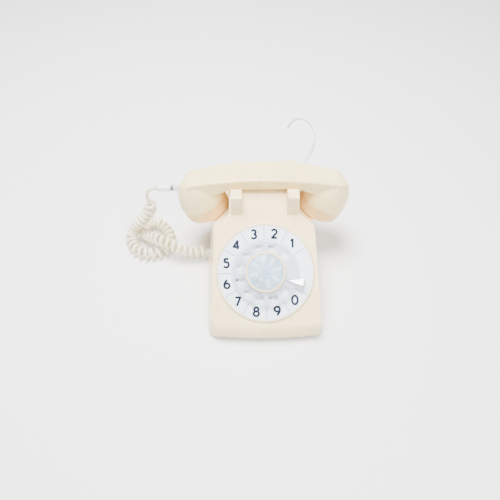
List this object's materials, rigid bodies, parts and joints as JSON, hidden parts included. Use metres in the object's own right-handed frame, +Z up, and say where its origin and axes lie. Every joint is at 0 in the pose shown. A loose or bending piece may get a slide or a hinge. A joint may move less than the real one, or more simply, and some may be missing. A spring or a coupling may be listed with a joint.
{
  "type": "rotary telephone",
  "caption": "Wedge-shaped rotary desk telephone with a clear finger wheel over a numbered dial plate, horned cradle, arched handset, curly cord and flat line cord.",
  "frame": {"origin": "on the table under the middle of the base, without the cords", "axes": "+Z up, -Y the front, where the dial faces the user, +X the user's right"},
  "size_m": [0.307, 0.4364, 0.13],
  "materials": {
    "ivory_plastic": "glossy moulded, lightly worn",
    "plate_print": "printed plate with dark numerals",
    "gilt_rim": "satin cream-gold",
    "clear_plastic": "clear, faintly pink",
    "card_paper": "blue-grey printed card",
    "chrome": "bright plated",
    "plated_steel": "zinc plated sheet",
    "brass": "turned, lacquered",
    "rubber": "matt black",
    "black_plastic": "moulded",
    "winding": "enamelled copper under tape",
    "iron": "bare soft iron",
    "ivory_cord": "smooth ivory jacket",
    "white_cord": "smooth white jacket",
    "white_plastic": "slightly translucent",
    "dark_collar": "moulded"
  },
  "bodies": {
    "telephone": {"housing": "ivory_plastic", "base_plate": "plated_steel", "housing_screws": "plated_steel", "dial_frame": "plated_steel", "dial_screws": "plated_steel", "mechanism_plate": "plated_steel", "dial_bracket_left": "plated_steel", "dial_bracket_right": "plated_steel", "gong_posts": "plated_steel", "ringer_frame": "plated_steel", "loudness_bracket": "plated_steel", "network_screws": "plated_steel", "hookswitch_bracket": "plated_steel", "hook_spring": "plated_steel", "dial_spring": "plated_steel", "governor_cup": "plated_steel", "rubber_feet": "rubber", "dial_rim": "gilt_rim", "number_plate": "plate_print", "gong_front": "brass", "gong_rear": "brass", "body_plug": "clear_plastic", "line_plug": "clear_plastic", "finger_stop": "chrome", "pulse_contacts": "black_plastic", "network_block": "black_plastic", "hookswitch_contacts": "black_plastic", "line_jacks": "black_plastic", "ringer_coil": "winding", "ringer_core": "iron", "handset_cord_tail": "ivory_cord", "handset_cord_coil": "ivory_cord", "line_cord": "white_cord"},
    "dial": {"finger_wheel": "clear_plastic", "card_ring": "gilt_rim", "number_card": "card_paper", "card_window": "clear_plastic", "dial_shaft": "plated_steel", "wheel_screw": "plated_steel", "main_gear": "brass"},
    "pulse_shaft": {"pulse_pinion": "brass", "pulse_cam": "black_plastic"},
    "governor": {"governor_pinion": "brass", "governor_weights": "brass"},
    "striker": {"clapper": "brass"},
    "loudness": {"loudness_wheel": "black_plastic"},
    "hook": {"hook_yoke": "black_plastic", "plunger_left": "ivory_plastic", "plunger_right": "ivory_plastic"},
    "lever": {"hookswitch_lever": "plated_steel"},
    "handset": {"handset_handle": "ivory_plastic", "transmitter_cap": "ivory_plastic", "receiver_cap": "ivory_plastic", "transmitter_unit": "black_plastic", "transmitter_cup": "black_plastic", "receiver_unit": "black_plastic", "handset_jack": "black_plastic", "swivel_plug": "clear_plastic", "swivel_pin": "dark_collar"},
    "swivel": {"swivel_body": "white_plastic"}
  },
  "joints": [
    {"name": "dial_turn", "type": "hinge", "parent": "telephone", "child": "dial", "pos_m": [0, -0.0447, 0.05877], "axis": [0, 0.5, -0.866], "range_deg": [0, 324], "stiffness_Nm_per_rad": 0.012, "springref_deg": -85.94},
    {"name": "pulse_turn", "type": "hinge", "parent": "telephone", "child": "pulse_shaft", "pos_m": [-0.005, -0.02014, 0.07295], "axis": [0, 0.5, -0.866], "range_deg": [-1621, 0]},
    {"name": "governor_turn", "type": "hinge", "parent": "telephone", "child": "governor", "pos_m": [-0.02145, -0.06029, 0.04977], "axis": [0, 0.5, -0.866], "range_deg": [-1945, 0]},
    {"name": "clapper_swing", "type": "hinge", "parent": "telephone", "child": "striker", "pos_m": [-0.0155, 0.045, 0.032], "axis": [0, 0, 1], "range_deg": [-1.8, 1.8]},
    {"name": "loudness_turn", "type": "hinge", "parent": "telephone", "child": "loudness", "pos_m": [-0.04, -0.014, 0.011], "axis": [1, 0, 0], "range_deg": [0, 180]},
    {"name": "handset_lift", "type": "slide", "parent": "telephone", "child": "handset", "axis": [0, 0, 1], "range_m": [0, 0.06], "deforming": ["handset_cord_coil", "handset_cord_tail"]},
    {"name": "hook_rise", "type": "slide", "parent": "telephone", "child": "hook", "axis": [0, 0, 1], "range_m": [0, 0.006], "deforming": ["hook_spring"]},
    {"name": "lever_turn", "type": "hinge", "parent": "telephone", "child": "lever", "pos_m": [0, 0.034, 0.09], "axis": [1, 0, 0], "range_deg": [0, 14.4]},
    {"name": "cord_swivel", "type": "hinge", "parent": "handset", "child": "swivel", "pos_m": [-0.1197, 0.0605, 0.099], "axis": [1, 0, 0], "continuous": true}
  ],
  "couplings": [
    {"joint": "pulse_turn", "follows": "dial_turn", "ratio": -5},
    {"joint": "governor_turn", "follows": "dial_turn", "ratio": -6},
    {"joint": "hook_rise", "follows": "handset_lift", "ratio": 0.1},
    {"joint": "lever_turn", "follows": "handset_lift", "rad_per_m": 4.1776}
  ]
}
